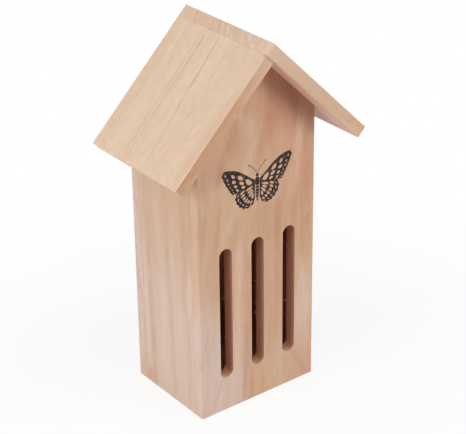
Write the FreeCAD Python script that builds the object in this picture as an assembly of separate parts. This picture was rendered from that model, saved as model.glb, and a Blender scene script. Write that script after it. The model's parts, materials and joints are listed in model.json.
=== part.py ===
# Butterfly house: a tall box of planed pine boards under a ridge roof, butt-jointed and held by brads.
# Millimetres. +X is to the right of the front, +Y to the back, +Z up.
# The origin is on the ground under the middle of the roof's outline.
import FreeCAD, Part
import math
import os

V = FreeCAD.Vector

# Driving dimensions: boards and box
BOARD = 10.0                 # thickness of every board
BODY_WIDTH = 110.0           # front panel, left to right
BODY_DEPTH = 85.0            # outer face of the front to outer face of the back
WALL_HEIGHT = 235.0          # ground to the outer top corner of a side wall
EDGE_EASE = 0.5              # radius that sanding leaves on the board edges

# Driving dimensions: roof
ROOF_PITCH = 45.0            # degrees; the boards meet square at the ridge only at 45
ROOF_SLOPE = 115.0           # underside of a roof board, from the inner ridge line to its eave
ROOF_FRONT_OVERHANG = 20.0   # the roof is flush with the back, so that the house hangs flat on a wall

# Driving dimensions: entrance slots in the front
SLOT_COUNT = 3
SLOT_WIDTH = 12.0            # ends are half circles
SLOT_BOTTOM = 29.5
SLOT_LENGTH = 113.0
SLOT_PITCH = 30.5

# Driving dimensions: keyhole in the back
KEYHOLE_HEIGHT = 244.0       # centre of the entry hole
KEYHOLE_ENTRY_RADIUS = 4.5
KEYHOLE_NECK_WIDTH = 4.5
KEYHOLE_RISE = 9.0           # entry centre to the centre of the neck's round top

# Driving dimensions: brads
BRAD_LENGTH = 25.0
BRAD_SHANK_RADIUS = 0.5
BRAD_HEAD_RADIUS = 0.8
BRAD_HEAD_HEIGHT = 0.8
BRAD_POINT = 2.0             # length of the tapered tip
BRAD_SET = 0.4               # head driven this far below the face
WALL_BRADS = 4               # front and back into each side board
WALL_BRAD_MARGIN = 22.0      # first and last brad from the ends of a wall
FLOOR_BRAD_INSET = 14.0      # brads into the floor, from its front and back edges
GABLE_BRAD_INSETS = (24.0, 62.0)   # down the slope from the inner ridge line
RIDGE_BRADS = 3
RIDGE_BRAD_MARGIN = 12.0     # first and last ridge brad from the roof's ends

# Lines that follow from the driving dimensions
HALF_WIDTH = BODY_WIDTH / 2
INNER_HALF_WIDTH = HALF_WIDTH - BOARD
GABLE_RISE = HALF_WIDTH * math.tan(math.radians(ROOF_PITCH))
INNER_RIDGE = WALL_HEIGHT + GABLE_RISE
ROOF_DEPTH = BODY_DEPTH + ROOF_FRONT_OVERHANG
ROOF_FRONT = -ROOF_DEPTH / 2
BODY_FRONT = ROOF_FRONT + ROOF_FRONT_OVERHANG
BODY_BACK = ROOF_DEPTH / 2
CAVITY_FRONT = BODY_FRONT + BOARD
CAVITY_BACK = BODY_BACK - BOARD

# Directions in the gable plane: down each slope, and square out of each slope
PITCH = math.radians(ROOF_PITCH)
DOWN_LEFT = V(-math.cos(PITCH), 0, -math.sin(PITCH))
DOWN_RIGHT = V(math.cos(PITCH), 0, -math.sin(PITCH))
OUT_LEFT = V(-math.sin(PITCH), 0, math.cos(PITCH))
OUT_RIGHT = V(math.sin(PITCH), 0, math.cos(PITCH))
RIDGE_POINT = V(0, 0, INNER_RIDGE)


def spread(first, last, count):
    """Evenly spaced values from first to last."""
    step = (last - first) / (count - 1)
    return [first + i * step for i in range(count)]


def board(profile, front, back):
    """A board whose outline lies in the XZ plane, reaching from front to back, with sanded edges."""
    outline = [V(point.x, front, point.z) for point in profile]
    face = Part.Face(Part.makePolygon(outline + outline[:1]))
    solid = face.extrude(V(0, back - front, 0))
    return solid.makeFillet(EDGE_EASE, solid.Edges)


def gable_profile():
    """Front and back outline: square foot, plumb walls and a pointed top that the roof lies on."""
    return [
        V(-HALF_WIDTH, 0, 0),
        V(HALF_WIDTH, 0, 0),
        V(HALF_WIDTH, 0, WALL_HEIGHT),
        RIDGE_POINT,
        V(-HALF_WIDTH, 0, WALL_HEIGHT),
    ]


def slot_cutter(x, front, back, low, high, width):
    """An upright slot with half-round ends, cut through from front to back."""
    radius = width / 2
    left_low = V(x - radius, front, low + radius)
    left_high = V(x - radius, front, high - radius)
    right_low = V(x + radius, front, low + radius)
    right_high = V(x + radius, front, high - radius)
    edges = [
        Part.LineSegment(left_low, left_high).toShape(),
        Part.Arc(left_high, V(x, front, high), right_high).toShape(),
        Part.LineSegment(right_high, right_low).toShape(),
        Part.Arc(right_low, V(x, front, low), left_low).toShape(),
    ]
    return Part.Face(Part.Wire(edges)).extrude(V(0, back - front, 0))


def front_panel():
    """Front board with a row of upright entrance slots."""
    panel = board(gable_profile(), BODY_FRONT, CAVITY_FRONT)
    row = SLOT_PITCH * (SLOT_COUNT - 1) / 2
    for x in spread(-row, row, SLOT_COUNT):
        top = SLOT_BOTTOM + SLOT_LENGTH
        panel = panel.cut(slot_cutter(x, BODY_FRONT, CAVITY_FRONT, SLOT_BOTTOM, top, SLOT_WIDTH))
    return panel


def back_panel():
    """Back board with a keyhole: a screw head enters the round hole, and the house drops onto its neck."""
    panel = board(gable_profile(), CAVITY_BACK, BODY_BACK)
    entry_place = V(0, CAVITY_BACK, KEYHOLE_HEIGHT)
    entry = Part.makeCylinder(KEYHOLE_ENTRY_RADIUS, BOARD, entry_place, V(0, 1, 0))
    neck_top = KEYHOLE_HEIGHT + KEYHOLE_RISE + KEYHOLE_NECK_WIDTH / 2
    neck_low = KEYHOLE_HEIGHT - KEYHOLE_NECK_WIDTH / 2
    neck = slot_cutter(0, CAVITY_BACK, BODY_BACK, neck_low, neck_top, KEYHOLE_NECK_WIDTH)
    return panel.cut(entry.fuse(neck))


def side_board(hand):
    """Side wall between the front and the back, its top bevelled to the pitch. hand is -1 left, +1 right."""
    inner_top = WALL_HEIGHT + BOARD * math.tan(PITCH)
    profile = [
        V(hand * HALF_WIDTH, 0, 0),
        V(hand * INNER_HALF_WIDTH, 0, 0),
        V(hand * INNER_HALF_WIDTH, 0, inner_top),
        V(hand * HALF_WIDTH, 0, WALL_HEIGHT),
    ]
    return board(profile, CAVITY_FRONT, CAVITY_BACK)


def floor_board():
    """Bottom board, set between the four walls and flush with their feet."""
    profile = [
        V(-INNER_HALF_WIDTH, 0, 0),
        V(INNER_HALF_WIDTH, 0, 0),
        V(INNER_HALF_WIDTH, 0, BOARD),
        V(-INNER_HALF_WIDTH, 0, BOARD),
    ]
    return board(profile, CAVITY_FRONT, CAVITY_BACK)


def roof_board(down, out, lap):
    """One roof board, from lap above the inner ridge line to its eave, square-cut at both ends."""
    upper = RIDGE_POINT - down * lap
    eave = RIDGE_POINT + down * ROOF_SLOPE
    profile = [upper, eave, eave + out * BOARD, upper + out * BOARD]
    return board(profile, ROOF_FRONT, BODY_BACK)


def turned_about_z(profile):
    """A solid of revolution from (radius, height) pairs that start and end on the Z axis."""
    points = [V(radius, 0, height) for radius, height in profile]
    face = Part.Face(Part.makePolygon(points + points[:1]))
    return face.revolve(V(0, 0, 0), V(0, 0, 1), 360)


def brad_profile(top):
    """Half section of a brad driven along -Z from a face at height 0, with its upper end at height top."""
    under_head = -BRAD_SET - BRAD_HEAD_HEIGHT
    tip = -BRAD_SET - BRAD_LENGTH
    return [
        (0, top),
        (BRAD_HEAD_RADIUS, top),
        (BRAD_HEAD_RADIUS, under_head),
        (BRAD_SHANK_RADIUS, under_head),
        (BRAD_SHANK_RADIUS, tip + BRAD_POINT),
        (0, tip),
    ]


def driven(shape, place, direction):
    """A shape made along -Z, turned to the drive direction and set at a point on a board's face."""
    turned = shape.copy()
    turned.Placement = FreeCAD.Placement(place, FreeCAD.Rotation(V(0, 0, -1), direction))
    return turned


def wall_brads(hand, face, inward):
    """Places and direction of the brads from the front or the back into one side board's edge."""
    heights = spread(WALL_BRAD_MARGIN, WALL_HEIGHT - WALL_BRAD_MARGIN, WALL_BRADS)
    middle = hand * (HALF_WIDTH - BOARD / 2)
    return [V(middle, face, z) for z in heights], V(0, inward, 0)


def floor_brads(hand):
    """Places and direction of the brads through one side into the floor's edge."""
    depths = (CAVITY_FRONT + FLOOR_BRAD_INSET, CAVITY_BACK - FLOOR_BRAD_INSET)
    return [V(hand * HALF_WIDTH, y, BOARD / 2) for y in depths], V(-hand, 0, 0)


def gable_brads(down, out, y):
    """Places and direction of the brads through a roof board into a gable's sloping edge."""
    places = [RIDGE_POINT + down * inset + out * BOARD + V(0, y, 0) for inset in GABLE_BRAD_INSETS]
    return places, out * -1


def ridge_brads():
    """Places and direction of the brads through the right roof board into the left one's top edge."""
    depths = spread(ROOF_FRONT + RIDGE_BRAD_MARGIN, BODY_BACK - RIDGE_BRAD_MARGIN, RIDGE_BRADS)
    lap_middle = RIDGE_POINT - DOWN_RIGHT * (BOARD / 2) + OUT_RIGHT * BOARD
    return [lap_middle + V(0, y, 0) for y in depths], DOWN_LEFT


# The boards, by node name
boards = {
    "front_panel": front_panel(),
    "back_panel": back_panel(),
    "left_side": side_board(-1),
    "right_side": side_board(1),
    "floor": floor_board(),
    "roof_board_left": roof_board(DOWN_LEFT, OUT_LEFT, 0),
    "roof_board_right": roof_board(DOWN_RIGHT, OUT_RIGHT, BOARD),
}

# The brads of each joint, by node name: the two boards that they join, then their places and direction
FRONT_MIDDLE = BODY_FRONT + BOARD / 2
BACK_MIDDLE = BODY_BACK - BOARD / 2
joints = {
    "ridge_brads": ("roof_board_right", "roof_board_left", ridge_brads()),
}
for name, hand, down, out in (("left", -1, DOWN_LEFT, OUT_LEFT), ("right", 1, DOWN_RIGHT, OUT_RIGHT)):
    side = f"{name}_side"
    roof = f"roof_board_{name}"
    joints[f"front_to_{side}_brads"] = ("front_panel", side, wall_brads(hand, BODY_FRONT, 1))
    joints[f"back_to_{side}_brads"] = ("back_panel", side, wall_brads(hand, BODY_BACK, -1))
    joints[f"floor_to_{side}_brads"] = (side, "floor", floor_brads(hand))
    joints[f"{name}_roof_to_front_brads"] = (roof, "front_panel", gable_brads(down, out, FRONT_MIDDLE))
    joints[f"{name}_roof_to_back_brads"] = (roof, "back_panel", gable_brads(down, out, BACK_MIDDLE))

# Each brad fills the hole that it makes in both boards; the hole stays open above its sunk head
one_brad = turned_about_z(brad_profile(-BRAD_SET))
one_hole = turned_about_z(brad_profile(0))
brads = {}
for node, (outer, inner, (places, direction)) in joints.items():
    holes = Part.makeCompound([driven(one_hole, place, direction) for place in places])
    boards[outer] = boards[outer].cut(holes)
    boards[inner] = boards[inner].cut(holes)
    brads[node] = Part.makeCompound([driven(one_brad, place, direction) for place in places])

os.makedirs("parts", exist_ok=True)
for node, shape in {**boards, **brads}.items():
    shape.exportStep(f"parts/{node}.step")
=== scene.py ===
"""Looks of a wooden butterfly house: bare pine boards, filled brads and an ink print, on a white floor."""
import json
import math
from typing import NamedTuple

import bmesh
import bpy
import numpy as np
from bpy.props import FloatProperty, FloatVectorProperty, PointerProperty
from mathutils import Color, Matrix, Vector


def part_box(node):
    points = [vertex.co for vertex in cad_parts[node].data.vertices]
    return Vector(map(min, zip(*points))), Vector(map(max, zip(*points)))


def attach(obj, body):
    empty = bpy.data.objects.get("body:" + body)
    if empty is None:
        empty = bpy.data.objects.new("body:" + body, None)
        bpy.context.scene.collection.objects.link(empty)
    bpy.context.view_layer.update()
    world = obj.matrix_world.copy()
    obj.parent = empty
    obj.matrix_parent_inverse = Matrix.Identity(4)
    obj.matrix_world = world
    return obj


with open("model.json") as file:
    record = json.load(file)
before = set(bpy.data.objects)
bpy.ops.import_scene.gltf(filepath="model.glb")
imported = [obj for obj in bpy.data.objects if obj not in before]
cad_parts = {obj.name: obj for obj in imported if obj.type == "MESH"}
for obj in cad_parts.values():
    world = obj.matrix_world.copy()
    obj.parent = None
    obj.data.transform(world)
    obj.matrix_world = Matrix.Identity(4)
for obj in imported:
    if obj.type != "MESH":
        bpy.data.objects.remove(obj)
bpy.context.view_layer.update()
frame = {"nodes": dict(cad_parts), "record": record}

bl_info = {
    "name": "Butterfly house",
    "version": (1, 0, 0),
    "blender": (4, 5, 0),
    "location": "View3D > Sidebar > Butterfly house",
    "description": "Dresses the boards, brads and print of a butterfly house and sets its stage",
    "category": "Object",
}

HOUSE_BODY = "root"
MM = 0.001
SCREEN_MOST = 255
WHITE = (1, 1, 1, 1)
ORIGIN = (0.0, 0.0, 0.0)


def srgb(*screen):
    """A colour written as 0 to 255 screen values, as the linear values that shaders take."""
    return tuple(Color([value / SCREEN_MOST for value in screen]).from_srgb_to_scene_linear())


def opaque(colour):
    """A colour with full alpha, as node sockets take it."""
    return (*colour, 1.0)


# Settings that a user would change

def tint(name, description, *screen):
    """A colour setting, its default written as screen values."""
    return FloatVectorProperty(name=name, description=description, subtype="COLOR", default=srgb(*screen))


def number(name, description, default, **kind):
    """A number setting, with its unit or subtype."""
    return FloatProperty(name=name, description=description, default=default, **kind)


class PineColours(bpy.types.PropertyGroup):
    """Colours of bare planed pine."""
    roof: tint("Roof pine", "Pale wood of the roof boards", 222, 198, 173)
    body: tint("Body pine", "Pale wood of the walls", 212, 184, 160)
    front: tint("Front pine", "Pale wood of the front", 213, 178, 146)
    warm: tint("Warm band", "Wide warm bands along the grain", 206, 158, 130)
    ruddy: tint("Ruddy band", "Reddest stripes along the grain", 190, 134, 108)
    tan: tint("Tan stripe", "Dull brown stripes along the grain", 198, 163, 135)
    pale: tint("Pale stripe", "Palest early wood", 226, 200, 174)
    blush: tint("Blush", "Pale pinkish grey drifts", 220, 196, 184)
    late: tint("Late wood", "Dark side of a growth ring", 184, 138, 108)
    pitch: tint("Pitch line", "Thin dark resin lines", 150, 94, 64)
    end: tint("End grain", "Ends, where the fibres are cut across", 219, 193, 168)
    sawn: tint("Sawn edge", "Narrow edges, sawn along the grain", 201, 151, 113)
    routed: tint("Routed slot", "Slot walls, toasted by the cutter", 198, 145, 120)
    sill: tint("Slot sill", "Rounded ends of the slots", 222, 174, 140)
    # Painted shade: a darker colour laid on the front close under the roof's overhang, where the eaves shade it
    painted_eave_shade: tint("Shaded wood", "Wood that darkened close under the roof", 150, 88, 64)
    # Painted shade: faces inside the house are given this darker colour, standing in for the shade there
    painted_inside_shade: tint("Raw inside", "Darkened wood inside the house", 176, 112, 84)
    # Painted light: the roof boards' undersides are given colours lighter than the roof pine, standing in for
    # light from the floor, with less of it towards the ridge
    under_ridge: tint("Under the ridge", "Roof boards' undersides near the ridge", 240, 196, 173)
    under_eave: tint("Under the eaves", "Roof boards' undersides near the eaves", 245, 209, 197)
    putty: tint("Putty", "Filler over the brad heads", 207, 164, 134)


class PrintSettings(bpy.types.PropertyGroup):
    """Size, place and colour of the printed butterfly."""
    width: number("Width", "Wing tip to wing tip", 66 * MM, unit="LENGTH")
    centre: number("Height of centre", "Ground to the middle of the print", 188 * MM, unit="LENGTH")
    film: number("Ink film", "How far the ink stands off the wood", 0.03 * MM, unit="LENGTH")
    ink: tint("Ink", "Solid ink", 30, 20, 15)
    thin_ink: tint("Thin ink", "Ink where the grain shows through", 114, 93, 84)


class StageSettings(bpy.types.PropertyGroup):
    """Camera, lamps and world."""
    azimuth: number("Azimuth", "Camera's turn about the house", math.radians(-37.23), subtype="ANGLE")
    elevation: number("Elevation", "Camera's height angle", math.radians(27.33), subtype="ANGLE")
    roll: number("Roll", "Camera's tilt about its view", math.radians(-0.715), subtype="ANGLE")
    distance: number("Distance", "Camera to the point it looks at", 1.221, unit="LENGTH")
    lens: number("Lens", "Focal length on a 36 mm sensor", 121.085, unit="CAMERA")
    aim: FloatVectorProperty(
        name="Aim", description="Point it looks at", unit="LENGTH", default=(0.01045, 0.0115, 0.13853))
    left_lamp: number("Left lamp", "Soft lamp low on the left", 11.6, unit="POWER")
    right_lamp: number("Right lamp", "Soft lamp low in front, to the right", 9.9, unit="POWER")
    top_lamp: number("Top lamp", "Soft lamp high in front, to the left", 5.0, unit="POWER")
    back_lamp: number("Back lamp", "Soft lamp behind, to the right", 4.0, unit="POWER")
    ambient: number("Ambient", "Strength of the even light from all round", 0.01)


# Meshes from grids of points

POLE_REACH = 0.001 * MM


def around(count):
    """Angles spaced evenly, all the way round."""
    return np.linspace(0, 2 * np.pi, count, endpoint=False)


def grid_quads(rows, columns, closed):
    """Corner numbers of a grid's quads, points counted row by row. A closed grid joins its last column to its
    first."""
    row, column = np.meshgrid(np.arange(rows - 1), np.arange(columns - (not closed)), indexing="ij")
    here = row * columns + column
    beside = row * columns + (column + 1) % columns
    return np.stack([here, beside, beside + columns, here + columns], -1).reshape(-1, 4)


def merge_poles(mesh):
    """Joins points that lie in one place, so that poles are closed with triangles."""
    shape = bmesh.new()
    shape.from_mesh(mesh)
    bmesh.ops.remove_doubles(shape, verts=shape.verts, dist=POLE_REACH)
    shape.to_mesh(mesh)
    shape.free()


def add_object(name, sheets, material):
    """One object from sheets, each a grid of points (rows, columns, 3) and whether its columns close. A row
    whose points all lie in one place becomes a pole."""
    points = np.concatenate([sheet.reshape(-1, 3) for sheet, closed in sheets])
    starts = np.cumsum([0] + [sheet.shape[0] * sheet.shape[1] for sheet, closed in sheets])
    quads = [grid_quads(*sheet.shape[:2], closed) + start for (sheet, closed), start in zip(sheets, starts)]
    mesh = bpy.data.meshes.new(name)
    mesh.from_pydata(points.tolist(), [], np.concatenate(quads).tolist())
    mesh.materials.append(material)
    merge_poles(mesh)
    made = bpy.data.objects.new(name, mesh)
    bpy.context.scene.collection.objects.link(made)
    return made


def add_piece(name, sheets, material, smooth=True):
    """An object that rides on the house, with the material it is given."""
    piece = add_object(name, sheets, material)
    piece.data.polygons.foreach_set("use_smooth", np.full(len(piece.data.polygons), smooth))
    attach(piece, HOUSE_BODY)
    return piece


# Wiring shader nodes

BUMP_STRENGTH = 0.3
NOISE_MIDDLE = 0.5


def arithmetic(operation):
    """A method of Wiring that puts one, two or three values through a Math node."""
    def method(self, first, second=0.0, third=0.0):
        return self.add("ShaderNodeMath", {0: first, 1: second, 2: third}, operation=operation).outputs[0]
    return method


class Wiring:
    """Adds nodes to one tree. Any input takes a number, a colour or another node's output."""
    plus = arithmetic("ADD")
    minus = arithmetic("SUBTRACT")
    times = arithmetic("MULTIPLY")
    scaled = arithmetic("MULTIPLY_ADD")
    over = arithmetic("DIVIDE")
    most = arithmetic("MAXIMUM")
    size = arithmetic("ABSOLUTE")
    root = arithmetic("SQRT")
    floor = arithmetic("FLOOR")
    fraction = arithmetic("FRACT")

    def __init__(self, tree):
        self.tree = tree

    def add(self, kind, inputs=None, **settings):
        node = self.tree.nodes.new(kind)
        for name, value in settings.items():
            setattr(node, name, value)
        for name, value in (inputs or {}).items():
            self.feed(node.inputs[name], value)
        return node

    def feed(self, socket, value):
        if isinstance(value, bpy.types.NodeSocket):
            self.tree.links.new(value, socket)
        else:
            socket.default_value = value

    def hypot(self, first, second):
        return self.root(self.plus(self.times(first, first), self.times(second, second)))

    def vector(self, operation, first, second=ORIGIN):
        return self.add("ShaderNodeVectorMath", {0: first, 1: second}, operation=operation).outputs[0]

    def split(self, vector):
        return self.add("ShaderNodeSeparateXYZ", {0: vector}).outputs

    def join(self, x, y, z=0.0):
        return self.add("ShaderNodeCombineXYZ", {0: x, 1: y, 2: z}).outputs[0]

    def step(self, value, low, high, start=0.0, end=1.0):
        """A smooth step from start to end while value goes from low to high."""
        inputs = {"Value": value, "From Min": low, "From Max": high, "To Min": start, "To Max": end}
        return self.add("ShaderNodeMapRange", inputs, interpolation_type="SMOOTHSTEP").outputs["Result"]

    def fall(self, value, low, high):
        """A smooth step from one down to nought."""
        return self.step(value, low, high, 1.0, 0.0)

    def mix(self, share, first, second, blend="MIX"):
        inputs = {0: share, 6: first, 7: second}
        return self.add("ShaderNodeMix", inputs, data_type="RGBA", blend_type=blend).outputs[2]

    def grey(self, value):
        return self.add("ShaderNodeCombineColor", {0: value, 1: value, 2: value}).outputs[0]

    def shade(self, colour, value):
        """A colour darkened or lightened by a value."""
        return self.mix(1.0, colour, self.grey(value), "MULTIPLY")

    def noise(self, vector, scale, detail=2.0, roughness=0.5):
        inputs = {"Vector": self.vector("MULTIPLY", vector, scale), "Scale": 1.0, "Detail": detail}
        return self.add("ShaderNodeTexNoise", {**inputs, "Roughness": roughness}).outputs

    def specks(self, vector, scale, detail=3.0):
        """An even noise, with its scale per metre."""
        return self.noise(vector, (scale, scale, scale), detail)["Fac"]

    def sway(self, vector, scale, detail):
        """A noise about nought."""
        return self.minus(self.noise(vector, scale, detail)["Fac"], NOISE_MIDDLE)

    def shove(self, vector, scale, detail):
        """A noise about nought in each direction."""
        return self.vector("SUBTRACT", self.noise(vector, scale, detail)["Color"], (NOISE_MIDDLE,) * 3)

    def place(self):
        """The place on the house, in metres."""
        return self.add("ShaderNodeTexCoord").outputs["Object"]

    def group(self, maker, *inputs):
        """A shared node group, by the function that makes it the first time, with its inputs in order."""
        tree = bpy.data.node_groups.get(maker.__name__) or maker()
        return self.add("ShaderNodeGroup", dict(enumerate(inputs)), node_tree=tree).outputs

    def bump(self, height, distance):
        inputs = {"Strength": BUMP_STRENGTH, "Distance": distance, "Height": height}
        return self.add("ShaderNodeBump", inputs).outputs[0]

    def surface(self, inputs):
        """The material's Principled shader."""
        shader = self.add("ShaderNodeBsdfPrincipled", inputs)
        self.add("ShaderNodeOutputMaterial", {"Surface": shader.outputs[0]})


def new_group(name, outputs, **inputs):
    """An empty shader node group: its tree, a Wiring for it, what it is given and what it puts out."""
    tree = bpy.data.node_groups.new(name, "ShaderNodeTree")
    for field, default in inputs.items():
        kind = "NodeSocketVector" if isinstance(default, tuple) else "NodeSocketFloat"
        label = field.replace("_", " ").title()
        tree.interface.new_socket(label, in_out="INPUT", socket_type=kind).default_value = default
    for label in outputs:
        tree.interface.new_socket(label, in_out="OUTPUT", socket_type="NodeSocketFloat")
    w = Wiring(tree)
    return tree, w, w.add("NodeGroupInput").outputs, w.add("NodeGroupOutput").inputs


def new_material(name):
    """An empty node material and a Wiring for it."""
    material = bpy.data.materials.new(name)
    material.use_nodes = True
    material.node_tree.nodes.clear()
    return material, Wiring(material.node_tree)


# Noises of the wood per mm: across the board, through it and along its grain

BEND = (0.011, 0.011, 0.006)
RIPPLE = (0.05, 0.05, 0.013)
RIPPLE_SHARE = (0.15, 0.15, 0.0)
BAND = (0.075, 0.075, 0.006)
STREAK = (0.3, 0.3, 0.012)
FIBRE = (1.8, 1.8, 0.04)
FLECK = (1.4, 1.4, 0.2)
MOTTLE = (0.22, 0.22, 0.13)
LINE_SWAY = (0.02, 0.02, 0.03)
LINE_BREAKS = (0.3, 0.3, 0.08)
PATCH_RAGGED = (0.12, 0.12, 0.012)
RAGGED_REACH = 1.1
RING_NOISE = 0.1
RING_SHIFT = 2.0

# Depths over which the painted shade of the house begins: inside the walls and under the eaves

INSIDE_SHADE_SKIN = (0.1 * MM, 0.4 * MM)
EAVE_SHADE_REACH = (-34 * MM, -3 * MM)


def pine_figure():
    """Figure of a pine board in mm, its grain along Z. The board is first bent by a slow noise, so that
    nothing runs dead straight. Rings are the distance from a leaning pith, cut into turns whose late side
    darkens slowly and ends sharply. Band, Streak and Fibre are noises drawn out along the grain, from wide
    to fine, and Mottle hardly is."""
    tree, w, given, out = new_group(
        "pine_figure", ["Late", "Band", "Streak", "Fibre", "Fleck", "Mottle"],
        board=ORIGIN, pith_across=0.0, pith_depth=50.0, lean=0.0, ring_width=4.0, wander=10.0, seed=0.0)
    start = w.vector("ADD", given["Board"], w.join(given["Seed"], given["Seed"], given["Seed"]))
    ripple = w.vector("MULTIPLY", w.shove(start, RIPPLE, detail=1.0), RIPPLE_SHARE)
    slow = w.vector("ADD", w.shove(start, BEND, detail=2.0), ripple)
    bend = w.vector("MULTIPLY", slow, w.join(given["Wander"], given["Wander"]))
    flow = w.vector("ADD", start, bend)

    place = w.split(w.vector("ADD", given["Board"], bend))
    across = w.minus(place["X"], given["Pith Across"])
    depth = w.plus(w.scaled(place["Z"], given["Lean"], given["Pith Depth"]), place["Y"])
    radius = w.hypot(across, depth)
    noise_inputs = {"W": w.times(radius, RING_NOISE), "Scale": 1.0, "Detail": 1.0}
    uneven = w.add("ShaderNodeTexNoise", noise_inputs, noise_dimensions="1D").outputs[0]
    rings = w.scaled(uneven, RING_SHIFT, w.over(radius, given["Ring Width"]))
    turn = w.fraction(rings)
    chance = w.add("ShaderNodeTexWhiteNoise", {"W": w.floor(rings)}, noise_dimensions="1D").outputs[0]
    late = w.times(w.step(turn, 0.1, 0.86), w.fall(turn, 0.88, 1.0))
    w.feed(out["Late"], w.times(late, w.step(chance, 0.0, 1.0, 0.25, 1.0)))

    w.feed(out["Band"], w.noise(flow, BAND)["Fac"])
    w.feed(out["Streak"], w.noise(flow, STREAK, roughness=0.55)["Fac"])
    w.feed(out["Fibre"], w.noise(flow, FIBRE, roughness=0.6)["Fac"])
    w.feed(out["Mottle"], w.noise(start, MOTTLE, detail=4.0, roughness=0.6)["Fac"])
    w.feed(out["Fleck"], w.step(w.noise(flow, FLECK, detail=1.0)["Fac"], 0.72, 0.8))
    return tree


def grain_line():
    """One line along the grain: a narrow hump across the board that drifts, sways and fades out."""
    tree, w, given, out = new_group(
        "grain_line", ["Line"],
        board=ORIGIN, across=0.0, drift=0.0, start=0.0, end=100.0, fade=10.0, width=0.8)
    place = w.split(given["Board"])
    drifted = w.scaled(place["Z"], given["Drift"], given["Across"])
    middle = w.plus(drifted, w.sway(given["Board"], LINE_SWAY, detail=1.0))
    away = w.size(w.minus(place["X"], middle))
    hump = w.fall(w.over(away, given["Width"]), 0.0, 1.0)
    began = w.step(w.minus(place["Z"], given["Start"]), 0.0, given["Fade"])
    ended = w.step(w.minus(given["End"], place["Z"]), 0.0, given["Fade"])
    uneven = w.step(w.noise(given["Board"], LINE_BREAKS)["Fac"], 0.3, 0.6, 0.45, 1.0)
    w.feed(out["Line"], w.times(w.times(hump, uneven), w.times(began, ended)))
    return tree


def soft_patch():
    """A soft oval on a board, leaning with the grain and ragged at its edge: one inside, nought outside."""
    tree, w, given, out = new_group(
        "soft_patch", ["Patch"],
        board=ORIGIN, across=0.0, along=0.0, half_across=10.0, half_along=40.0, lean=0.0)
    place = w.split(given["Board"])
    above = w.minus(place["Z"], given["Along"])
    middle = w.scaled(above, given["Lean"], given["Across"])
    across = w.over(w.minus(place["X"], middle), given["Half Across"])
    along = w.over(above, given["Half Along"])
    ragged = w.sway(given["Board"], PATCH_RAGGED, detail=3.0)
    away = w.scaled(ragged, RAGGED_REACH, w.hypot(across, along))
    w.feed(out["Patch"], w.fall(away, 0.35, 1.05))
    return tree


def house_shelter():
    """Where the house's wood is painted darker as shade, from the place on it. Inside is one on faces that look
    into the space between the four walls and under the roof, which falls one in one from the ridge: painted shade
    inside the house. Eave falls from one at the roof to nought below it: painted shade close under the eaves."""
    tree, w, given, out = new_group(
        "house_shelter", ["Inside", "Eave"], place=ORIGIN, middle=ORIGIN, half=(1.0, 1.0, 1.0), ridge=1.0)
    away = w.vector("ABSOLUTE", w.vector("SUBTRACT", given["Place"], given["Middle"]))
    past = w.split(w.vector("SUBTRACT", away, given["Half"]))
    aside = w.split(w.vector("ABSOLUTE", given["Place"]))
    above = w.minus(w.plus(aside["X"], aside["Z"]), given["Ridge"])
    w.feed(out["Inside"], w.fall(w.most(above, w.most(past["X"], past["Y"])), *INSIDE_SHADE_SKIN))
    w.feed(out["Eave"], w.step(above, *EAVE_SHADE_REACH))
    return tree


def board_sides():
    """Which way a face of a board points: cut ends along the grain, narrow sawn sides, the two wide faces,
    the one of them that depth grows to, and rounded edges."""
    tree, w, given, out = new_group(
        "board_sides", ["End", "Side", "Face", "Inner", "Edge"], facing=(0.0, 0.0, 1.0))
    facing = w.split(w.vector("ABSOLUTE", given["Facing"]))
    straight = w.most(facing["X"], w.most(facing["Y"], facing["Z"]))
    w.feed(out["End"], w.step(facing["Z"], 0.45, 0.9))
    w.feed(out["Side"], w.step(facing["X"], 0.6, 0.95))
    w.feed(out["Face"], w.step(facing["Y"], 0.5, 0.8))
    w.feed(out["Inner"], w.step(w.split(given["Facing"])["Y"], 0.6, 0.95))
    w.feed(out["Edge"], w.fall(straight, 0.85, 0.99))
    return tree


# Boards

class Figure(NamedTuple):
    """One board: its pine, axes and origin, the inputs of pine_figure, and how far colours come through."""
    stock: str
    grain: tuple
    across: tuple
    origin: tuple
    growth: tuple
    warmth: float
    rings: float
    streaks: float
    side: str = "sawn"
    sawn: float = 0.0
    # Strength of the painted light on a roof board's underside
    underside: float = 0.0
    # Strength of the painted shade close under the eaves
    eave: float = 0.0
    # Strength of the rubbed, paler edges; on the roof boards mostly a painted highlight along the arrises
    edge: float = 0.1
    mottle: float = 0.0
    slotted: bool = False
    stripes: tuple = ()
    drifts: tuple = ()


HALF_ROOT = math.sqrt(0.5)
UP = (0, 0, 1)
TO_LEFT = (-1, 0, 0)
TO_RIGHT = (1, 0, 0)
TO_BACK = (0, 1, 0)
TO_FRONT = (0, -1, 0)
DOWN_LEFT = (-HALF_ROOT, 0, -HALF_ROOT)
DOWN_RIGHT = (HALF_ROOT, 0, -HALF_ROOT)
OFF_LEFT_ROOF = (-HALF_ROOT, 0, HALF_ROOT)
OFF_RIGHT_ROOF = (HALF_ROOT, 0, HALF_ROOT)
RIDGE = (0, 0, 290)

# Drifts: colour and strength, then the inputs of soft_patch in mm
# Stripes: colour and strength, then the inputs of grain_line in mm

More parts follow.
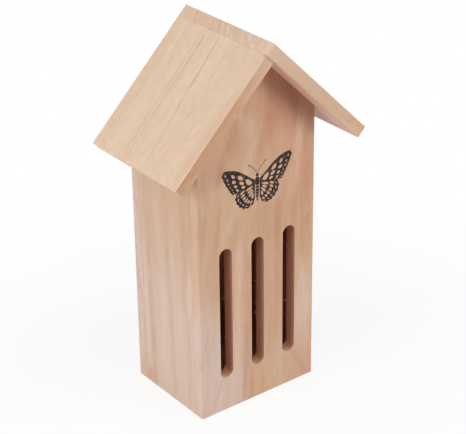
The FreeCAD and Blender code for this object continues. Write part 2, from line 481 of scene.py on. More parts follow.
FRONT_DRIFTS = (
    ("warm", 0.78, 16, 262, 62, 76),
    ("warm", 0.8, 34, 176, 26, 60),
    ("warm", 0.62, 15, 84, 13, 75),
    ("warm", 0.7, 42, 14, 24, 24),
    ("blush", 0.45, -30, 36, 34, 56),
    # Painted shade: the next ruddy drift, below the apex, darkens the front where the right roof's overhang shades
    # it
    ("ruddy", 0.85, 25, 246, 26, 32),
    ("blush", 0.25, 34, 24, 34, 36),
    ("ruddy", 0.32, 44, 172, 20, 58),
    ("ruddy", 0.38, 10, 154, 20, 24),
    ("ruddy", 0.2, 24, 216, 16, 18),
    ("ruddy", 0.25, -34, 210, 18, 22),
    ("blush", 0.9, -57, 70, 9, 52),
    ("blush", 0.95, -50, 56, 20, 56, 0.1),
    ("blush", 1.0, -34, 14, 28, 32),
    ("blush", 0.6, -42, 20, 24, 44),
    ("blush", 0.5, -22, 14, 9, 22),
    ("blush", 0.75, 43, 66, 14, 42),
    ("ruddy", 0.35, -50, 162, 8, 18),
    ("ruddy", 0.3, 42, 128, 8, 24),
    ("ruddy", 0.25, 15, 140, 7, 20),
    ("warm", 0.5, -8, 24, 6, 36),
    ("blush", 0.25, 50, 158, 7, 14),
    ("ruddy", 0.3, -22, 224, 9, 16),
    ("ruddy", 0.3, 42, 218, 9, 18),
    ("ruddy", 0.3, -22, 152, 8, 18),
    ("pale", 0.4, -8, 236, 8, 12),
)
FRONT_STRIPES = (
    ("pale", 0.42, -83.4, 0.36, 138, 238, 26, 7),
    ("pale", 0.25, -70, 0.148, 96, 218, 28, 4.5),
    ("pale", 0.42, 4.3, 0.17, 160, 238, 20, 7),
    ("pale", 0.55, -20, 0.02, 16, 156, 24, 6.5),
    ("ruddy", 0.35, -69.6, 0.34, 190, 254, 22, 8),
    ("ruddy", 0.5, -108, 0.36, 192, 252, 12, 8),
    ("pale", 0.5, -16, 0, 238, 264, 9, 5),
    ("ruddy", 0.35, -63, 0.16, 128, 188, 18, 4),
    ("ruddy", 0.4, -54, 0.02, 184, 222, 14, 7),
    ("tan", 0.45, -22, 0, 134, 172, 14, 4.5),
    ("ruddy", 0.46, 49, 0, 96, 238, 26, 9),
    ("ruddy", 0.45, -13.5, 0.03, -5, 82, 16, 3.5),
    ("ruddy", 0.4, 20, 0, 74, 180, 24, 7),
    ("ruddy", 0.35, -8.5, 0, 26, 140, 16, 3.5),
    ("ruddy", 0.3, 50.3, -0.57, -2, 34, 8, 3.5),
    ("ruddy", 0.35, -6.5, 0.02, -5, 30, 9, 2.5),
    ("ruddy", 0.35, 4, 0.05, -5, 30, 9, 3),
    ("warm", 0.45, -45.9, 0.36, -2, 36, 8, 1.8),
    ("warm", 0.4, -30.7, 0.11, -2, 26, 6, 1.4),
    ("warm", 0.35, -66.7, 0.25, 38, 88, 12, 1.6),
)
LEFT_DRIFTS = (
    ("tan", 0.8, -20, 182, 18, 60),
    ("tan", 0.5, 12, 206, 46, 50),
    ("blush", 0.9, 6, 50, 66, 90),
    ("blush", 0.75, 46, 96, 20, 70),
    ("blush", 0.8, -28, 66, 12, 64),
    ("blush", 0.5, -22, 102, 12, 24),
    ("blush", 0.45, -10, 12, 34, 26),
    ("blush", 0.55, 48, 44, 12, 52),
    ("warm", 0.65, 38, 4, 14, 14),
)
LEFT_STRIPES = (
    ("tan", 0.6, -15.5, 0.018, 84, 200, 34, 6),
    ("tan", 0.55, 1.6, 0.05, -5, 200, 24, 7),
    ("tan", 0.65, 30, 0.03, -5, 200, 24, 6.5),
    ("tan", 0.4, -17, 0, -5, 100, 26, 6),
    ("late", 0.35, -45.8, 0.29, 48, 96, 12, 1.6),
    ("tan", 0.5, -2, 0, 172, 214, 14, 5),
    ("blush", 0.35, 34, 0, 150, 184, 10, 4.5),
    ("blush", 0.4, -13, 0.12, 60, 150, 24, 5),
    ("blush", 0.45, 12, 0.06, 10, 190, 30, 5),
    ("blush", 0.45, 36, 0.05, 10, 190, 30, 4.5),
)
ROOF_RESIN = (
    ("pitch", 0.5, -0.2, -0.08, -4, 78, 18, 1.2),
    ("pitch", 0.2, -0.2, -0.08, 66, 116, 16, 1.3),
    ("pitch", 0.42, 14.8, -0.027, -6, 46, 16, 1.2),
    ("pitch", 0.2, 14.8, -0.027, 36, 116, 16, 1.3),
    ("pale", 0.5, 16.6, -0.022, -6, 116, 16, 1.4),
    ("pitch", 0.24, 18.7, -0.022, -6, 62, 20, 1.2),
    ("pitch", 0.15, 18.2, -0.018, 52, 116, 16, 1.3),
    ("pitch", 0.2, -19.8, 0, 52, 70, 6, 1),
    ("pitch", 0.5, -34.1, 0, 75.5, 80.5, 2.5, 1.1),
)
ROOF_DRIFTS = (
    ("warm", 0.16, 46, 50, 9, 80),
    ("warm", 0.16, -46, 8, 14, 14),
    ("warm", 0.36, -49, 64, 9, 54),
    ("pitch", 0.9, -51.4, 0.8, 1.6, 1.6),
)
RIDGE_DRIFTS = (
    ("warm", 0.36, -18, -19, 32, 18),
    ("blush", 0.6, 42, -12, 30, 6),
    ("pale", 0.7, 45, -12, 22, 6),
)
RIDGE_LINES = (
    ("late", 0.5, 38.5, 0, -30, -8.6, 1, 0.9),
    ("late", 0.2, 31.5, 0, -30, -8.6, 1, 1.4),
    ("late", 0.2, 44.5, 0, -30, -8.6, 1, 1.2),
)
BACK_DRIFTS = (
    ("blush", 0.7, 20, 90, 30, 90),
    ("warm", 0.5, -30, 200, 26, 80),
)
RIGHT_DRIFTS = (("blush", 0.7, 10, 110, 26, 90),)

FIGURES = {
    "front_panel": Figure(
        "front", UP, TO_RIGHT, ORIGIN, (6, 40, 0.12, 15, 24, 300),
        warmth=0.4, rings=0.1, streaks=0.12, side="body", sawn=0.6, eave=0.44, mottle=0.4,
        slotted=True, stripes=FRONT_STRIPES, drifts=FRONT_DRIFTS),
    "back_panel": Figure(
        "body", UP, TO_RIGHT, ORIGIN, (-18, -60, -0.14, 9, 20, 3100),
        warmth=0.5, rings=0.3, streaks=0.2, side="blush", sawn=1.0, mottle=0.4, drifts=BACK_DRIFTS),
    "left_side": Figure(
        "body", UP, TO_BACK, ORIGIN, (70, 40, 0.05, 14, 18, 1100),
        warmth=0.25, rings=0.08, streaks=0.14, mottle=0.4,
        stripes=LEFT_STRIPES, drifts=LEFT_DRIFTS),
    "right_side": Figure(
        "body", UP, TO_BACK, ORIGIN, (-60, -45, 0.06, 10, 18, 1900),
        warmth=0.5, rings=0.25, streaks=0.2, mottle=0.4, drifts=RIGHT_DRIFTS),
    "floor": Figure(
        "body", TO_RIGHT, TO_BACK, ORIGIN, (20, 55, 0.05, 6, 10, 4300),
        warmth=0.5, rings=0.4, streaks=0.2),
    "roof_board_left": Figure(
        "roof", DOWN_LEFT, TO_BACK, RIDGE, (-90, 50, 0.08, 12, 10, 700),
        warmth=0.12, rings=0.04, streaks=0.09, sawn=0.95, underside=0.8, edge=0.8, mottle=1.0,
        stripes=ROOF_RESIN, drifts=ROOF_DRIFTS),
    "roof_board_right": Figure(
        "roof", DOWN_RIGHT, TO_FRONT, RIDGE, (70, 50, 0.08, 9, 12, 2300),
        warmth=0.3, rings=0.14, streaks=0.14, sawn=0.5, underside=0.85, edge=0.8, mottle=0.6,
        stripes=RIDGE_LINES, drifts=RIDGE_DRIFTS),
}

END_SHARE = 0.7
END_RINGS = 0.3
FLECK_SHARE = 0.12
# Share of the painted shade on faces inside the house
INSIDE_SHADE_SHARE = 0.85
DAPPLE_DARK = (0.97, 0.945, 0.92, 1)
DAPPLE_LIGHT = (1.02, 1.03, 1.03, 1)
LATE_RELIEF = 0.4
FIBRE_RELIEF = 0.6
GRAIN_DEPTH = 0.12 * MM
PINE_GLOSS = 0.25
SLOT_FIELD = (44 * MM, 45 * MM)
SAWN_DEPTH = (-9, -1)
SAWN_LENGTH = (0, 55)
# Distance from the ridge in mm over which the painted underside light turns from its ridge colour to its eave
# colour
UNDERSIDE_LIGHT_TURN = (50, 100)


def board_axes(figure):
    """Turn from a board's own axes, across the grain in X and along it in Z, to the house's."""
    along = Vector(figure.grain)
    across = Vector(figure.across)
    return Matrix((across, along.cross(across), along)).transposed().to_euler()


def board_place(w, figure, place):
    """A point on the house in the board's own axes, in mm from the board's origin."""
    inputs = {
        "Vector": place,
        "Location": tuple(value * MM for value in figure.origin),
        "Rotation": board_axes(figure),
        "Scale": (MM, MM, MM),
    }
    return w.add("ShaderNodeMapping", inputs, vector_type="TEXTURE").outputs[0]


def cavity():
    """Middle and half size of the space between the four walls, from the frame's boards."""
    low = Vector((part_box("left_side")[1][0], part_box("front_panel")[1][1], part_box("floor")[0][2]))
    high = Vector((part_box("right_side")[0][0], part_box("back_panel")[0][1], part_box("roof_board_right")[1][2]))
    return (low + high) / 2, (high - low) / 2


def tone(name):
    """One of the pine colours of the settings, as node sockets take it."""
    return opaque(getattr(bpy.context.scene.house_pine, name))


def lay(w, colour, coats):
    """Lays coats over a colour, each a mask, its strength, and a pine colour's name or nodes' own colour."""
    for mask, strength, coat in coats:
        over = tone(coat) if isinstance(coat, str) else coat
        colour = w.mix(w.times(mask, strength), colour, over)
    return colour


def drift_coats(w, figure, board, band):
    """A board's soft patches, weaker along its warm bands."""
    uneven = w.step(band, 0.3, 0.6, 1.0, 0.7)
    for colour, strength, *shape in figure.drifts:
        yield w.times(w.group(soft_patch, board, *shape)["Patch"], uneven), strength, colour


def stripe_coats(w, figure, board):
    """A board's lines and stripes along the grain."""
    for colour, strength, *shape in figure.stripes:
        yield w.group(grain_line, board, *shape)["Line"], strength, colour


def pine(name, figure):
    """Bare planed pine, coat over coat: warm bands, sawn sides and cut ends, drifts, one of which is painted shade
    below the front's apex, painted light on the roof boards' undersides, rings, streaks, stripes and flecks, then
    slots, painted shade under the eaves and inside the house, fibres, dapples, and rubbed edges, which on the roof
    boards are mostly a painted highlight. Slots are the only side and end faces between the front's outer walls."""
    material, w = new_material(name)
    found = w.add("ShaderNodeTexCoord").outputs
    board = board_place(w, figure, found["Object"])
    place = w.split(board)
    wood = w.group(pine_figure, board, *figure.growth)
    turned = {"Vector": found["Normal"], "Rotation": board_axes(figure)}
    facing = w.add("ShaderNodeMapping", turned, vector_type="TEXTURE").outputs[0]
    sides = w.group(board_sides, facing)
    middle, half = cavity()
    painted_shade = w.group(house_shelter, found["Object"], middle, half, RIDGE[2] * MM)

    by_depth = w.step(place["Y"], *SAWN_DEPTH, 1.0, 0.82)
    by_length = w.step(place["Z"], *SAWN_LENGTH, 0.6, 1.0)
    worn = w.step(wood["Mottle"], 0.35, 0.65, 0.75, 1.15)
    sawn = w.times(w.times(by_depth, by_length), w.times(worn, figure.sawn))
    cut_end = w.mix(w.times(wood["Late"], END_RINGS), tone("end"), tone("late"))
    # Painted light on the roof boards' undersides, less of it towards the ridge
    under = w.mix(w.step(place["Z"], *UNDERSIDE_LIGHT_TURN), tone("under_ridge"), tone("under_eave"))
    colour = lay(w, tone(figure.stock), [
        (w.step(wood["Band"], 0.38, 0.62), figure.warmth, "warm"),
        (sides["Side"], sawn, figure.side),
        (sides["End"], END_SHARE, cut_end),
        *drift_coats(w, figure, board, wood["Band"]),
        (sides["Inner"], figure.underside, under),
        (wood["Late"], figure.rings, "late"),
        (w.step(wood["Streak"], 0.5, 0.78), figure.streaks, "late"),
        (w.fall(wood["Streak"], 0.25, 0.46), figure.streaks, "roof"),
        *stripe_coats(w, figure, board),
        (wood["Fleck"], FLECK_SHARE, "late"),
    ])
    # Rubbed edges, paler, and on the roof boards mostly a painted highlight along the arrises that also lightens
    # the shade in the seams
    rubbed_and_highlit = w.times(sides["Edge"], figure.edge)
    if figure.slotted:
        inboard = w.fall(w.size(w.split(found["Object"])["X"]), *SLOT_FIELD)
        cut = w.times(w.minus(1.0, sides["Face"]), inboard)
        colour = w.mix(cut, colour, w.mix(sides["End"], tone("routed"), tone("sill")))
        rubbed_and_highlit = w.times(rubbed_and_highlit, w.minus(1.0, cut))
    # Painted shade: a darker colour close under the eaves and on faces inside the house
    colour = lay(w, colour, [(painted_shade["Eave"], figure.eave, "painted_eave_shade"), (painted_shade["Inside"], INSIDE_SHADE_SHARE, "painted_inside_shade")])
    colour = w.shade(colour, w.step(wood["Fibre"], 0.25, 0.75, 0.965, 1.02))
    dapple = w.mix(w.step(wood["Mottle"], 0.3, 0.7), DAPPLE_DARK, DAPPLE_LIGHT)
    colour = w.mix(figure.mottle, colour, w.mix(1.0, colour, dapple, "MULTIPLY"))
    relief = w.scaled(wood["Late"], LATE_RELIEF, w.times(wood["Fibre"], FIBRE_RELIEF))
    w.surface({
        "Base Color": w.mix(rubbed_and_highlit, colour, tone("pale")),
        "Roughness": w.step(wood["Fibre"], 0.2, 0.8, 0.74, 0.6),
        "Normal": w.bump(relief, GRAIN_DEPTH),
        "Specular IOR Level": PINE_GLOSS,
    })
    return material


def dress(node, material):
    """Gives a CAD node one material, in its object's own slot."""
    mesh_object = frame["nodes"][node]
    if not mesh_object.material_slots:
        mesh_object.data.materials.append(None)
    mesh_object.material_slots[0].link = "OBJECT"
    mesh_object.material_slots[0].material = material


def dress_boards(nodes):
    """Gives each board its own pine."""
    for node in nodes:
        dress(node, pine(f"pine_{node}", FIGURES[node]))


class HOUSE_OT_wall_boards(bpy.types.Operator):
    """Finish the front, back, sides and floor as bare planed pine"""
    bl_idname = "house.wall_boards"
    bl_label = "Wall boards"

    def execute(self, context):
        dress_boards([node for node in FIGURES if not node.startswith("roof")])
        return {"FINISHED"}


class HOUSE_OT_roof_boards(bpy.types.Operator):
    """Finish the roof boards as paler pine with thin dark lines"""
    bl_idname = "house.roof_boards"
    bl_label = "Roof boards"

    def execute(self, context):
        dress_boards([node for node in FIGURES if node.startswith("roof")])
        return {"FINISHED"}


# Brads and their filler

HEAD_FACES = {
    "front_to_left_side_brads": TO_FRONT,
    "front_to_right_side_brads": TO_FRONT,
    "back_to_left_side_brads": TO_BACK,
    "back_to_right_side_brads": TO_BACK,
    "floor_to_left_side_brads": TO_LEFT,
    "floor_to_right_side_brads": TO_RIGHT,
    "left_roof_to_front_brads": OFF_LEFT_ROOF,
    "left_roof_to_back_brads": OFF_LEFT_ROOF,
    "right_roof_to_front_brads": OFF_RIGHT_ROOF,
    "right_roof_to_back_brads": OFF_RIGHT_ROOF,
    "ridge_brads": OFF_RIGHT_ROOF,
}
HEAD_SET = 0.4 * MM
HEAD_RADIUS = 0.8 * MM
HEAD_FLAT = 0.01 * MM
PLUG_RADIUS = (0, 0.35, 0.6, 0.78, 0.8, 0)
PLUG_HEIGHT = (-0.05, -0.04, -0.02, -0.002, -0.3, -0.3)
PLUG_SIDES = 20
ASKEW = (0.3, 0.5, 0.8)
FRONT_SKIN = (0.5 * MM, 1.0 * MM)
RIGHT_FROM = (-20 * MM, 20 * MM)
RUDDY_FROM = (150 * MM, 190 * MM)
ROOF_FROM = (225 * MM, 235 * MM)
FILLER_GRAINS = 4000
FILLER_DEPTH = 0.05 * MM
BRIGHT_STEEL = srgb(196, 194, 190)
DULL_STEEL = srgb(150, 146, 140)
STEEL_PATCHES = 900


def head_centres(node, outward):
    """Middles of a node's brad heads: its outermost points, parted where they are far apart."""
    mesh = frame["nodes"][node].data
    points = np.empty(len(mesh.vertices) * 3)
    mesh.vertices.foreach_get("co", points)
    points = points.reshape(-1, 3)
    reach = points @ np.array(outward)
    heads = points[reach > reach.max() - HEAD_FLAT]
    row = np.ptp(heads, axis=0).argmax()
    heads = heads[heads[:, row].argsort()]
    parted = np.split(heads, np.flatnonzero(np.diff(heads[:, row]) > 2 * HEAD_RADIUS) + 1)
    return [(head.min(0) + head.max(0)) / 2 for head in parted]


def filler_plugs(centres, outward):
    """Filler over sunk heads: a shallow dish turned about the brad, level with the wood at its rim, sunk in
    its middle, as filler shrinks, and flat below."""
    radius = np.array(PLUG_RADIUS) * MM
    height = np.array(PLUG_HEIGHT) * MM + HEAD_SET
    angle = around(PLUG_SIDES)
    axis = np.array(outward, float)
    first = np.cross(axis, ASKEW)
    first /= np.linalg.norm(first)
    second = np.cross(axis, first)
    ring = np.cos(angle)[None, :, None] * first + np.sin(angle)[None, :, None] * second
    plug = radius[:, None, None] * ring + height[:, None, None] * axis
    return [(centre + plug[::-1], True) for centre in centres]


def filler():
    """Wood filler matched to the front, wall or roof around it, by its place, with a grainy surface."""
    material, w = new_material("wood_filler")
    place = w.place()
    along = w.split(place)
    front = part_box("front_panel")[0][1]
    on_front = w.fall(along["Y"], *(front + depth for depth in FRONT_SKIN))
    on_right = w.step(along["X"], *RIGHT_FROM)
    ruddy = w.most(on_right, w.step(along["Z"], *RUDDY_FROM))
    wall = w.mix(w.times(on_front, ruddy), tone("body"), tone("putty"))
    roof = w.mix(on_right, tone("roof"), tone("tan"))
    colour = w.mix(w.step(along["Z"], *ROOF_FROM), wall, roof)
    grains = w.specks(place, FILLER_GRAINS)
    w.surface({
        "Base Color": w.shade(colour, w.step(grains, 0.3, 0.7, 0.94, 1.02)),
        "Roughness": w.step(grains, 0.2, 0.8, 0.7, 0.85),
        "Normal": w.bump(grains, FILLER_DEPTH),
    })
    return material


def drawn_steel():
    """Bright drawn wire, slightly dulled in patches."""
    material, w = new_material("drawn_steel")
    dull = w.step(w.specks(w.place(), STEEL_PATCHES), 0.35, 0.7)
    w.surface({
        "Base Color": w.mix(dull, opaque(BRIGHT_STEEL), opaque(DULL_STEEL)),
        "Metallic": 1.0,
        "Roughness": w.scaled(dull, 0.2, 0.3),
    })
    return material


class HOUSE_OT_brads(bpy.types.Operator):
    """Finish the brads in drawn steel and fill the holes over their heads"""
    bl_idname = "house.brads"
    bl_label = "Brads"

    def execute(self, context):
        steel = drawn_steel()
        plugs = []
        for node, outward in HEAD_FACES.items():
            dress(node, steel)
            plugs += filler_plugs(head_centres(node, outward), outward)
        add_piece("brad_filler", plugs, filler())
        return {"FINISHED"}


# Printed butterfly

class Windows(NamedTuple):
    """A row of unprinted windows across a wing: middle, tilt and half height as shares of the wing's reach,
    ends as shares of its angle, how many there are, and how much of its place each fills."""
    middle: float
    tilt: float
    half: float
    first: float
    last: float
    count: int
    fill: float


class Wing(NamedTuple):
    """A wing as a fan of rays from a point, in mm and degrees, from its leading edge to its trailing edge.
    The profile gives the margin's share of the reach at even angles."""
    leading: float
    trailing: float
    reach: float
    profile: tuple
    bow: float
    scallop: float
    lobes: int
    rows: tuple


FAN_POINT = (-2.5, 1.0)
WING_ROOT = 2.2
FOREWING = Wing(
    leading=27, trailing=-9, reach=38, bow=7, scallop=0.006, lobes=6,
    profile=(0.96, 0.99, 0.93, 0.87, 0.82, 0.77, 0.73, 0.70, 0.66),
    rows=(
        Windows(0.22, -0.02, 0.10, 0.16, 0.92, 1, 0.84),
        Windows(0.48, 0.0, 0.085, 0.12, 0.98, 3, 0.74),
        Windows(0.70, 0.03, 0.055, 0.12, 0.98, 4, 0.66),
        Windows(0.90, 0.0, 0.020, 0.10, 0.97, 6, 0.46),
    ))
HINDWING = Wing(
    leading=-10, trailing=-69, reach=24.5, bow=2, scallop=0.016, lobes=6,
    profile=(0.88, 0.97, 1.0, 1.0, 0.99, 0.97, 0.93, 0.86, 0.72),
    rows=(
        Windows(0.27, 0.0, 0.16, 0.06, 0.90, 4, 0.78),
        Windows(0.63, 0.0, 0.10, 0.05, 0.95, 6, 0.72),
        Windows(0.87, 0.0, 0.030, 0.04, 0.96, 6, 0.58),
    ))
PRINT_SEED = 5
RAYS = 321
STRIP_ROWS = 3
SMOOTHING = 41
SQUARENESS = 2.6
HEIGHT_CHANCE = (0.82, 1.12)
MIDDLE_CHANCE = (-0.008, 0.008)

# Slices of the body by their ends, its half widths by height, and the curve of a slice's edges

BODY_SLICES = (
    (-14.5, -12.2), (-11.9, -9.6), (-9.3, -7.0), (-6.7, -4.4), (-4.1, -1.8), (-1.5, 5.0), (5.3, 8.0))
BODY_HEIGHTS = (-14.5, -12.5, -8, -4, -1.8, -1.4, 0, 3, 4.8, 5.3, 6, 7, 8)
BODY_HALVES = (0.3, 0.9, 1.5, 1.6, 1.2, 1.5, 2.0, 2.0, 1.2, 0.9, 1.35, 1.3, 0.3)
BODY_CURVE = 0.25
BODY_ROWS = 24
BODY_COLUMNS = 9

FEELER_FOOT = np.array((0.7, 8.6))
FEELER_REACH = np.array((7.3, 8.0))
FEELER_BEND = np.array((1.3, 0.9))
FEELER_HALF = 0.2
FEELER_ROWS = 60
CLUB_HALF = 0.35
CLUB_AT = 0.95
CLUB_LENGTH = 0.05
FILM_DEPTH = 1.5
INK_PATCHES = 420
INK_GLOSS = 0.18


def window_edges(row, share, dice):
    """Lower and upper edge of a row of windows along the wing's angle: each window is a squared oval about
    the row's middle, a little uneven in height, and between windows both edges lie on the middle."""
    pitch = (row.last - row.first) / row.count
    which = np.clip(np.floor((share - row.first) / pitch), 0, row.count - 1).astype(int)
    aside = (share - row.first - (which + 0.5) * pitch) / (0.5 * pitch * row.fill)
    uneven = dice.uniform(*HEIGHT_CHANCE, row.count)[which]
    half = row.half * uneven * np.maximum(0, 1 - np.abs(aside) ** SQUARENESS) ** 0.5
    middle = row.middle + row.tilt * share + dice.uniform(*MIDDLE_CHANCE, row.count)[which]
    return middle - half, middle + half


def smoothed(values):
    """Values averaged under a cosine window, with their ends held."""
    window = np.hanning(SMOOTHING + 2)[1:-1]
    held = np.pad(values, SMOOTHING // 2, mode="edge")
    return np.convolve(held, window / window.sum(), mode="valid")


def wing_sheets(wing, dice):
    """Ink of a wing, in mm: strips of a fan between its rows of windows. Each ray runs from the line where
    the wing joins the body to the margin, which follows the profile, smoothed by a cosine window and
    scalloped. The rays near the leading edge bow forward."""
    share = np.linspace(0, 1, RAYS)
    ray = wing.leading + (wing.trailing - wing.leading) * share
    margin = wing.reach * smoothed(np.interp(share, np.linspace(0, 1, len(wing.profile)), wing.profile))
    margin *= 1 + wing.scallop * np.cos(2 * np.pi * wing.lobes * share)
    root = (WING_ROOT - FAN_POINT[0]) / np.cos(np.radians(ray))
    edges = [edge for row in wing.rows for edge in window_edges(row, share, dice)]
    edges = [np.zeros_like(share), *edges, np.ones_like(share)]
    sheets = []
    for low, high in zip(edges[::2], edges[1::2]):
        out = low + (high - low) * np.linspace(0, 1, STRIP_ROWS)[:, None]
        angle = np.radians(ray + wing.bow * (1 - share) * np.sin(np.pi * out))
        reach = root + (margin - root) * out
        x = FAN_POINT[0] + reach * np.cos(angle)
        y = FAN_POINT[1] + reach * np.sin(angle)
        sheets.append(np.stack([x, y], -1))
    return sheets


def body_sheets():
    """Ink of the body, in mm: slices across a spindle, parted by thin gaps, and a round head."""
    side = np.linspace(-1, 1, BODY_COLUMNS)[None, :]
    sheets = []
    for low, high in BODY_SLICES:
        height = np.linspace(low, high, BODY_ROWS)[:, None]
        half = np.interp(height, BODY_HEIGHTS, BODY_HALVES)
        sheets.append(np.stack([half * side, height + BODY_CURVE * side ** 2], -1))
    return sheets


def feeler_sheet():
    """Ink of one feeler, in mm: a narrow strip along a bowed line that widens into a club at its end."""
    share = np.linspace(0, 1, FEELER_ROWS)[:, None]
    middle = FEELER_FOOT + FEELER_REACH * share ** FEELER_BEND
    ahead = np.gradient(middle, axis=0)
    ahead /= np.linalg.norm(ahead, axis=1, keepdims=True)
    half = FEELER_HALF + CLUB_HALF * np.exp(-((share - CLUB_AT) / CLUB_LENGTH) ** 2)
    aside = np.stack([-ahead[:, 1], ahead[:, 0]], -1)
    return middle[:, None] + (half * aside)[:, None] * np.linspace(-1, 1, STRIP_ROWS)[None, :, None]


def facing_front(sheet):
    """The grid with its columns in the order that turns its quads to the front, by the sign of its area."""
    along = sheet[1:, :-1] - sheet[:-1, :-1]
    across = sheet[:-1, 1:] - sheet[:-1, :-1]
    area = (across[..., 0] * along[..., 1] - across[..., 1] * along[..., 0]).sum()
    return sheet if area > 0 else sheet[:, ::-1]


def printer_ink(settings):
    """Stamped ink: nearly black, thinner where the wood's fibres stand up and in patches of the stamp."""
    material, w = new_material("printed_ink")
    place = w.place()
    figure = FIGURES["front_panel"]
    fibre = w.group(pine_figure, board_place(w, figure, place), *figure.growth)["Fibre"]
    patchy = w.step(w.specks(place, INK_PATCHES), 0.4, 0.66)
    thin = w.times(w.step(fibre, 0.3, 0.7), w.scaled(patchy, 0.85, 0.05))
    w.surface({
        "Base Color": w.mix(thin, opaque(settings.ink), opaque(settings.thin_ink)),
        "Roughness": w.step(fibre, 0.2, 0.8, 0.55, 0.72),
        "Specular IOR Level": INK_GLOSS,
    })
    return material


class HOUSE_OT_print(bpy.types.Operator):
    """Print a butterfly in ink on the front, over the slots"""
    bl_idname = "house.print"
    bl_label = "Printed butterfly"

    def execute(self, context):
        settings = context.scene.house_print
        dice = np.random.default_rng(PRINT_SEED)
        half = [*wing_sheets(FOREWING, dice), *wing_sheets(HINDWING, dice), feeler_sheet()]
        flat = half + [sheet * (-1, 1) for sheet in half] + body_sheets()
        widest = max(np.abs(sheet[..., 0]).max() for sheet in flat)
        scale = settings.width / 2 / widest
        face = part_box("front_panel")[0][1] - settings.film
        sheets = []
        for sheet in map(facing_front, flat):
            x = sheet[..., 0] * scale
            z = sheet[..., 1] * scale + settings.centre
            sheets.append((np.stack([x, np.full_like(x, face), z], -1), False))
        piece = add_piece("printed_butterfly", sheets, printer_ink(settings), smooth=False)
        film = piece.modifiers.new("film", "SOLIDIFY")
        film.thickness = settings.film * FILM_DEPTH
        film.offset = -1
        return {"FINISHED"}


# Splinters: the slot of each, then its height, length, rise and droop in mm

SPLINTERS = (
    ("left_slot", 93.5, 2.6, 0.8, 0.5),
    ("left_slot", 60, 1.5, -0.6, 0.2),
    ("middle_slot", 98.5, 2.2, 0.5, 0.4),
    ("middle_slot", 78.5, 1.8, 1.1, 0.3),
    ("middle_slot", 70.5, 2.4, -0.4, 0.5),
    ("right_slot", 69.5, 2.8, 0.6, 0.5),
    ("right_slot", 120, 1.6, 0.9, 0.2),
)
SPLINTER_ROWS = 10
SPLINTER_SIDES = 6
SPLINTER_RADIUS = 0.24 * MM
SPLINTER_INWARD = 0.35
ROOT_DEPTH = 0.3 * MM
SLOT_MARGIN = 1.0 * MM
FRESH_FIBRE = srgb(246, 228, 204)
FIBRE_BREAKS = 1800


def splinter_sheet(wall, back, height, length, rise, droop):
    """A hair: a circle that shrinks to a point at the tip, carried along a drooping line from the slot's
    wall, with its root closed inside the wood."""
    share = np.append(0, np.linspace(0, 1, SPLINTER_ROWS))[:, None]
    start = np.array([wall + ROOT_DEPTH, back - ROOT_DEPTH, height * MM])
    reach = np.array([-length, SPLINTER_INWARD * length, rise]) * MM
    path = start + reach * share - np.array([0, 0, droop * MM]) * share ** 2
    angle = around(SPLINTER_SIDES)
    ring = np.stack([0 * angle, np.cos(angle), -np.sin(angle)], -1)
    radius = SPLINTER_RADIUS * (1 - share ** 2)
    radius[0] = 0
    return path[:, None] + radius[:, None] * ring


def slot_walls():
    """Right wall of each slot in x, from the record's openings, which are narrower by a margin."""
    openings = frame["record"]["physics"]["openings"]
    return {o["name"]: o["box_m"][1][0] + SLOT_MARGIN for o in openings if o["name"].endswith("_slot")}


def torn_fibre():
    """Torn pine fibre: pale, with darker breaks along the hair."""
    material, w = new_material("torn_fibre")
    breaks = w.step(w.specks(w.place(), FIBRE_BREAKS, detail=2.0), 0.4, 0.7)
    w.surface({
        "Base Color": w.mix(breaks, opaque(FRESH_FIBRE), tone("body")),
        "Roughness": w.scaled(breaks, 0.1, 0.7),
    })
    return material


class HOUSE_OT_splinters(bpy.types.Operator):
    """Leave a few hairs of wood on the inner edges of the slots"""
    bl_idname = "house.splinters"
    bl_label = "Slot splinters"

    def execute(self, context):
        walls = slot_walls()
        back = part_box("front_panel")[1][1]
        sheets = [(splinter_sheet(walls[slot], back, *shape), True) for slot, *shape in SPLINTERS]
        add_piece("slot_splinters", sheets, torn_fibre())
        return {"FINISHED"}


# Stage

SENSOR_WIDTH = 36
LAMP_AIM = Vector((0, 0, 0.15))
LAMP_DISTANCE = 1.3
FLOOR_RADIUS = 4
FLOOR_ROWS = 24
FLOOR_SIDES = 96
FLOOR_DROP = 0.2 * MM
FLOOR_GRAIN = 300
SHADOW_REACH = (0.08, 0.4)

# Direction of each lamp from the house in degrees, azimuth and elevation, and the length of its side

LAMPS = {
    "left_lamp": (-90, 26, 0.8),
    "right_lamp": (38, 20, 0.7),
    "top_lamp": (-35, 65, 0.6),
    "back_lamp": (155, 40, 0.9),
}


def direction(azimuth, elevation):
    """Direction from the house: azimuth 0 is in front, turning right, and elevation is above the horizon."""
    level = math.cos(elevation)
    return Vector((math.sin(azimuth) * level, -math.cos(azimuth) * level, math.sin(elevation)))


def aimed(data, place, target, roll=0.0):
    """A lamp or camera at a place, looking at a target with +Z up, then rolled about its view."""
    turn = (target - place).to_track_quat("-Z", "Y").to_matrix().to_4x4()
    made = bpy.data.objects.new(data.name, data)
    made.matrix_world = Matrix.Translation(place) @ turn @ Matrix.Rotation(roll, 4, "Z")
    bpy.context.scene.collection.objects.link(made)
    return made


def add_camera(scene, settings):
    """The camera of the photograph's view."""
    aim = Vector(settings.aim)
    camera = bpy.data.cameras.new("camera")
    camera.lens = settings.lens
    camera.sensor_width = SENSOR_WIDTH
    place = aim + direction(settings.azimuth, settings.elevation) * settings.distance
    scene.camera = aimed(camera, place, aim, settings.roll)


def add_lamp(name, azimuth, elevation, side, power):
    """A square soft lamp, turned to the middle of the house."""
    lamp = bpy.data.lights.new(name, "AREA")
    lamp.size = side
    lamp.energy = power
    way = direction(math.radians(azimuth), math.radians(elevation))
    aimed(lamp, LAMP_AIM + way * LAMP_DISTANCE, LAMP_AIM)


def seen_directly(w):
    """One for rays from the camera and rays that metal or glass sends on, nought for light on the house."""
    path = w.add("ShaderNodeLightPath").outputs
    return w.most(path["Is Camera Ray"], w.most(path["Is Glossy Ray"], path["Is Transmission Ray"]))


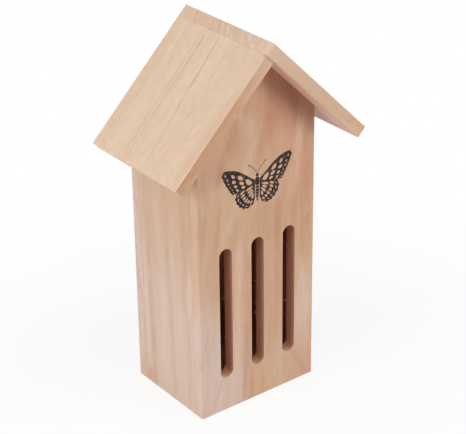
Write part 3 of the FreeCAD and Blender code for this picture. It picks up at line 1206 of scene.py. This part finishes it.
def studio_white():
    """White floor: near the house it keeps a soft share of shadow, further out it looks plain white."""
    material, w = new_material("studio_white")
    place = w.place()
    away = w.add("ShaderNodeVectorMath", {0: place}, operation="LENGTH").outputs["Value"]
    plain = w.step(away, *SHADOW_REACH, 0.86, 1.0)
    grain = w.step(w.specks(place, FLOOR_GRAIN, detail=2.0), 0.2, 0.8, 0.9, 0.92)
    paper = w.add("ShaderNodeBsdfDiffuse", {"Color": w.grey(grain)}).outputs[0]
    glow = w.add("ShaderNodeEmission", {"Color": WHITE, "Strength": 1.0}).outputs[0]
    share = w.times(seen_directly(w), plain)
    mixed = w.add("ShaderNodeMixShader", {0: share, 1: paper, 2: glow}).outputs[0]
    w.add("ShaderNodeOutputMaterial", {"Surface": mixed})
    return material


def add_floor():
    """A round floor: points at a radius that grows with the square of the row, all the way round."""
    radius = FLOOR_RADIUS * np.linspace(0, 1, FLOOR_ROWS)[::-1, None] ** 2
    angle = around(FLOOR_SIDES)[None, :]
    disc = np.broadcast_arrays(radius * np.cos(angle), radius * np.sin(angle), -FLOOR_DROP)
    add_object("studio_floor", [(np.stack(disc, -1), True)], studio_white())


def add_world(scene, settings):
    """Faint even light on the house, and plain white behind it."""
    world = bpy.data.worlds.new("studio")
    world.use_nodes = True
    world.node_tree.nodes.clear()
    w = Wiring(world.node_tree)
    light = w.add("ShaderNodeBackground", {"Color": WHITE, "Strength": settings.ambient}).outputs[0]
    white = w.add("ShaderNodeBackground", {"Color": WHITE, "Strength": 1.0}).outputs[0]
    mixed = w.add("ShaderNodeMixShader", {0: seen_directly(w), 1: light, 2: white}).outputs[0]
    w.add("ShaderNodeOutputWorld", {"Surface": mixed})
    scene.world = world


class HOUSE_OT_stage(bpy.types.Operator):
    """Set the camera, the soft lamps and the white floor"""
    bl_idname = "house.stage"
    bl_label = "Stage"

    def execute(self, context):
        scene = context.scene
        settings = scene.house_stage
        add_camera(scene, settings)
        add_floor()
        add_world(scene, settings)
        for name, lamp in LAMPS.items():
            add_lamp(name, *lamp, getattr(settings, name))
        scene.view_settings.view_transform = "Standard"
        return {"FINISHED"}


class HOUSE_PT_sidebar(bpy.types.Panel):
    """Buttons and settings of the butterfly house"""
    bl_label = "Butterfly house"
    bl_idname = "HOUSE_PT_sidebar"
    bl_space_type = "VIEW_3D"
    bl_region_type = "UI"
    bl_category = "Butterfly house"

    def draw(self, context):
        for operator in OPERATORS:
            self.layout.operator(operator.bl_idname)
        for name, group in SETTINGS.items():
            for setting in group.__annotations__:
                self.layout.prop(getattr(context.scene, name), setting)


SETTINGS = {"house_pine": PineColours, "house_print": PrintSettings, "house_stage": StageSettings}
OPERATORS = (
    HOUSE_OT_stage,
    HOUSE_OT_wall_boards,
    HOUSE_OT_roof_boards,
    HOUSE_OT_brads,
    HOUSE_OT_print,
    HOUSE_OT_splinters,
)
CLASSES = (*SETTINGS.values(), *OPERATORS, HOUSE_PT_sidebar)


def register():
    for cls in CLASSES:
        bpy.utils.register_class(cls)
    for name, cls in SETTINGS.items():
        setattr(bpy.types.Scene, name, PointerProperty(type=cls))


def unregister():
    for name in SETTINGS:
        delattr(bpy.types.Scene, name)
    for cls in reversed(CLASSES):
        bpy.utils.unregister_class(cls)


def main():
    register()
    bpy.ops.house.stage()
    bpy.ops.house.wall_boards()
    bpy.ops.house.roof_boards()
    bpy.ops.house.brads()
    bpy.ops.house.print()
    bpy.ops.house.splinters()


if __name__ == "__main__":
    main()
